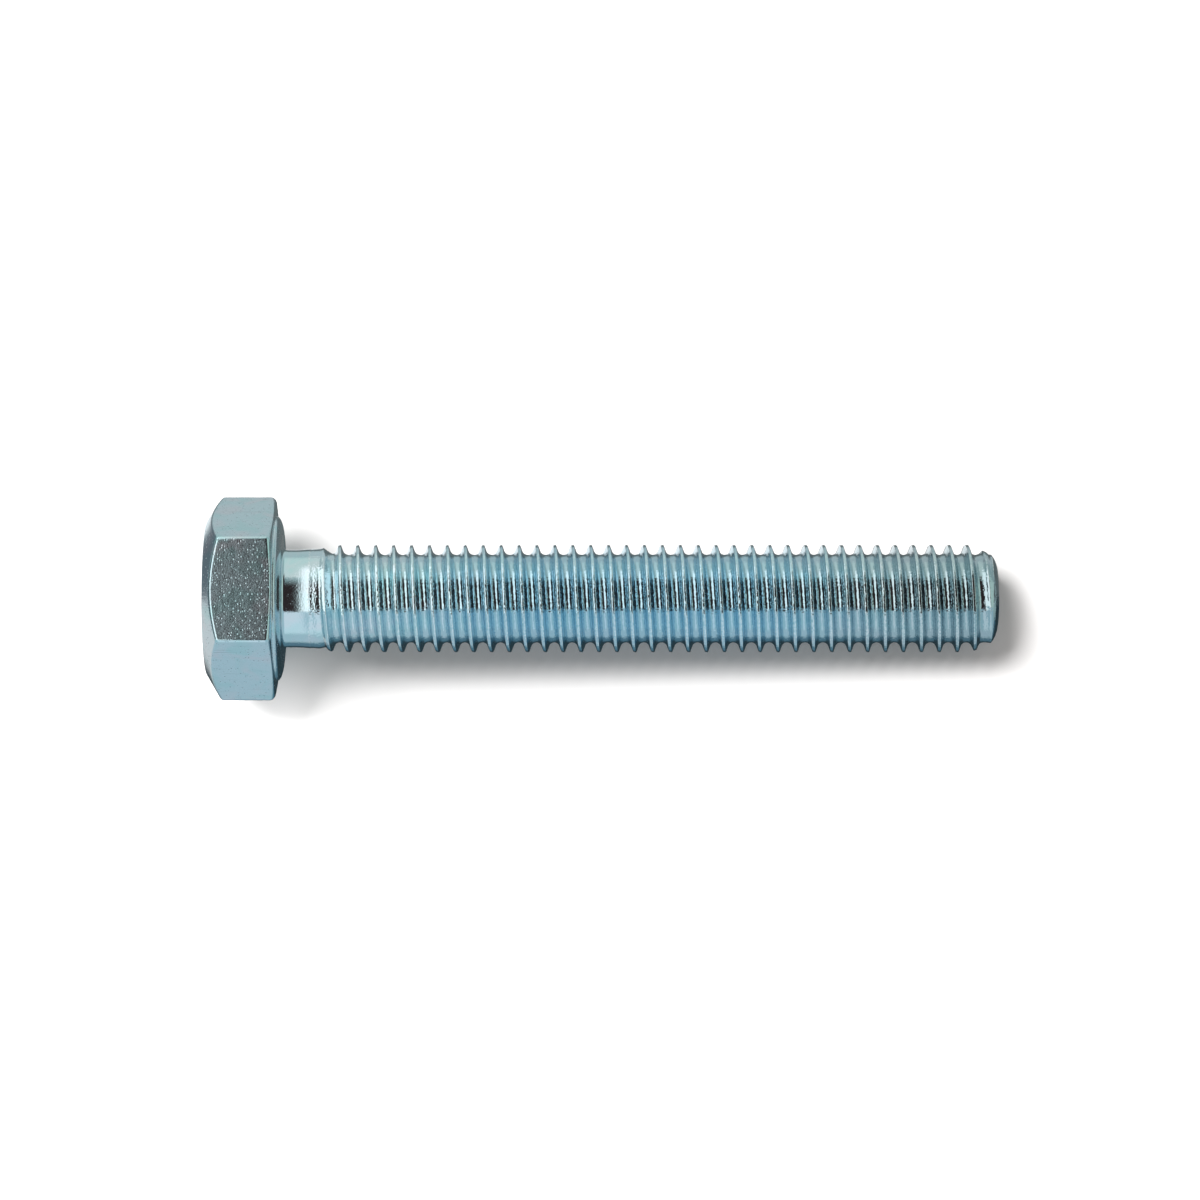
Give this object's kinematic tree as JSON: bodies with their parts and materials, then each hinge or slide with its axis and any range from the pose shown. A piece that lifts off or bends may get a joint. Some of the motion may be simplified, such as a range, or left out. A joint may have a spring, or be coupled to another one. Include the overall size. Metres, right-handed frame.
{
  "type": "hex bolt",
  "caption": "Fully threaded hex head bolt with a chamfered head, a washer face, a short plain neck, a right-hand metric thread and a rounded tip.",
  "frame": {"origin": "centre of the bearing face under the head, on the bolt's axis", "axes": "+X along the axis from the head towards the tip, +Z square out of one flat of the hexagon, +Y to complete a right-handed frame, through a corner of the hexagon"},
  "size_m": [0.0443, 0.0114, 0.01],
  "materials": {
    "zinc_plated_steel": "bright zinc plate with a clear blue passivation, low gloss with fine pits"
  },
  "bodies": {
    "root": {"hex_bolt": "zinc_plated_steel"}
  },
  "joints": []
}
